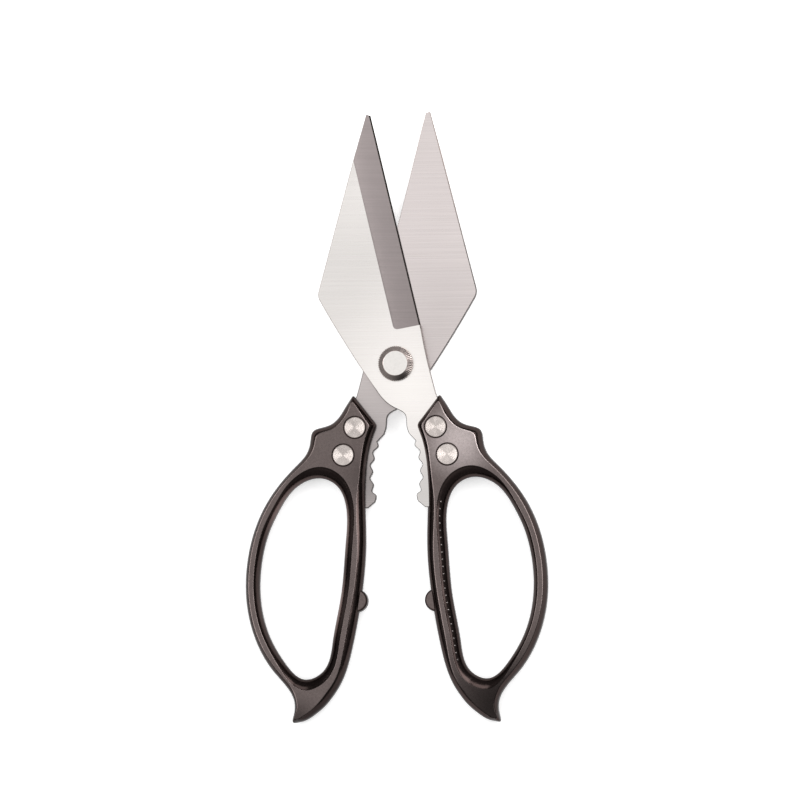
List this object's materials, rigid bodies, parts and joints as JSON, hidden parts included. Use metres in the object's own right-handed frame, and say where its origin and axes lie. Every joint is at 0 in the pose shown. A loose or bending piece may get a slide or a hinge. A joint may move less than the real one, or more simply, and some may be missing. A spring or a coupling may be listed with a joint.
{
  "type": "kitchen shears",
  "caption": "Kitchen shears with flat ground blades, serrated tangs let into dark cast finger-loop handles, broad turned rivets and a bevelled pivot screw.",
  "frame": {"origin": "pivot axis at the flat back of the pivot nut, on which the shears lie", "axes": "+Y from the pivot towards the blade tips, halfway between the two halves; +X towards the right handle; +Z out of the face seen in the picture"},
  "size_m": [0.1086, 0.2186, 0.0095],
  "materials": {
    "blade_steel": "fine cross-brushed with a darker ground band",
    "handle_metal": "glossy dark gunmetal plate on a casting",
    "rivet_steel": "turned and polished faces",
    "pivot_steel": "turned face with a polished bevel and a knurled rim",
    "washer_steel": "plain"
  },
  "bodies": {
    "rear_half": {"rear_blade": "blade_steel", "left_handle": "handle_metal", "left_upper_post": "rivet_steel", "left_upper_sleeve": "rivet_steel", "left_lower_post": "rivet_steel", "left_lower_sleeve": "rivet_steel", "pivot_nut": "pivot_steel", "pivot_screw": "pivot_steel", "thrust_washer": "washer_steel", "spring_washer": "washer_steel"},
    "front_half": {"front_blade": "blade_steel", "right_handle": "handle_metal", "right_upper_post": "rivet_steel", "right_upper_sleeve": "rivet_steel", "right_lower_post": "rivet_steel", "right_lower_sleeve": "rivet_steel"}
  },
  "joints": [
    {"name": "pivot", "type": "hinge", "parent": "rear_half", "child": "front_half", "pos_m": [0, 0, 0], "axis": [0, 0, 1], "range_deg": [-13.6, 52]}
  ]
}
